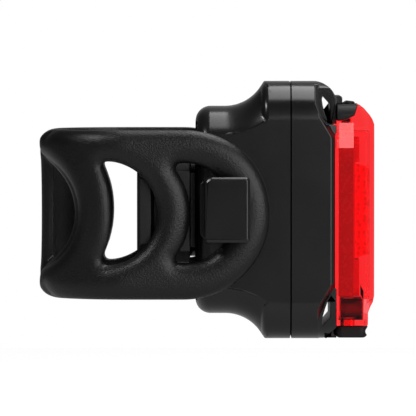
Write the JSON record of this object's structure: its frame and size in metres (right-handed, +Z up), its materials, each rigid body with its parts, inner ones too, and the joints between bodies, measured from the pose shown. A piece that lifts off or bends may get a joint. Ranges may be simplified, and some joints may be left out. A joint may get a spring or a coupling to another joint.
{
  "type": "bicycle rear light",
  "caption": "Strap-on bicycle rear light with a clear red lens, a rubber push button, a charging port cover and a hooked silicone strap around a round post.",
  "frame": {"origin": "on the axis of the seat post that the light clamps, at mid height of the housing", "axes": "+Z up the post, +X backwards along the beam, from the post to the lens, and +Y to the side of the strap's fixed end"},
  "size_m": [0.067, 0.0406, 0.0512],
  "materials": {
    "housing_plastic": "satin black moulded polycarbonate",
    "strap_silicone": "matte black silicone with a fine speckle",
    "saddle_plastic": "dark hard plastic, satin",
    "grip_rubber": "thin matte rubber lining",
    "button_rubber": "soft matte black rubber",
    "cover_rubber": "soft matte black rubber",
    "seal_silicone": "soft silicone seal",
    "screw_steel": "black oxide steel",
    "cell_wrap": "silver foil wrap",
    "foam": "closed cell foam",
    "retainer_nylon": "black nylon",
    "lead_red": "red insulated wire",
    "lead_black": "black insulated wire",
    "plug_nylon": "natural nylon",
    "board_laminate": "glass laminate with white solder mask",
    "chip_epoxy": "dark moulded epoxy",
    "capacitor_ceramic": "brown ceramic",
    "led_package": "pale package with clear dome",
    "reflector_bright": "metallised plastic",
    "guide_clear_red": "clear red light guide",
    "frame_red": "dark red plastic",
    "reflector_red": "clear red prismatic plastic",
    "lens_clear_red": "clear red polycarbonate",
    "socket_steel": "nickel plated steel",
    "insulator_black": "black moulded plastic"
  },
  "bodies": {
    "housing": {"rear_housing": "housing_plastic", "front_housing": "housing_plastic", "strap_fixed_half": "strap_silicone", "saddle": "saddle_plastic", "saddle_pad": "grip_rubber", "button_pad": "button_rubber", "cover_anchor": "cover_rubber", "housing_seal": "seal_silicone", "lens_seal": "seal_silicone", "housing_screws": "screw_steel", "saddle_screws": "screw_steel", "retainer_screws": "screw_steel", "board_screws": "screw_steel", "battery": "cell_wrap", "battery_foam": "foam", "battery_retainer": "retainer_nylon", "battery_lead_red": "lead_red", "battery_lead_black": "lead_black", "battery_plug": "plug_nylon", "main_board": "board_laminate", "control_chip": "chip_epoxy", "inductor": "chip_epoxy", "capacitors": "capacitor_ceramic", "main_leds": "led_package", "side_leds": "led_package", "led_reflector": "reflector_bright", "side_light_guides": "guide_clear_red", "panel_frame": "frame_red", "reflector_panel": "reflector_red", "lens": "lens_clear_red", "usb_shell": "socket_steel", "usb_tongue": "insulator_black", "usb_shroud": "insulator_black", "tact_switch": "insulator_black"},
    "strap_end": {"strap_free_half": "strap_silicone"},
    "button": {"power_button": "button_rubber"},
    "plunger": {"switch_plunger": "insulator_black"},
    "cover": {"port_cover": "cover_rubber"}
  },
  "joints": [
    {"name": "strap_swing", "type": "hinge", "parent": "housing", "child": "strap_end", "pos_m": [-0.0159, 0, 0], "axis": [0, 0, -1], "range_deg": [0, 65], "stiffness_Nm_per_rad": 0.01, "deforming": ["strap_free_half"]},
    {"name": "button_press", "type": "slide", "parent": "housing", "child": "button", "axis": [0, 0, -1], "range_m": [0, 0.0005], "stiffness_N_per_m": 300},
    {"name": "plunger_press", "type": "slide", "parent": "housing", "child": "plunger", "axis": [0, 0, -1], "range_m": [0, 0.00025]},
    {"name": "cover_swing", "type": "hinge", "parent": "housing", "child": "cover", "pos_m": [0.0444, 0, -0.0242], "axis": [0, 1, 0], "range_deg": [0, 100], "stiffness_Nm_per_rad": 0.0005}
  ],
  "couplings": [
    {"joint": "plunger_press", "follows": "button_press", "ratio": 0.5}
  ]
}
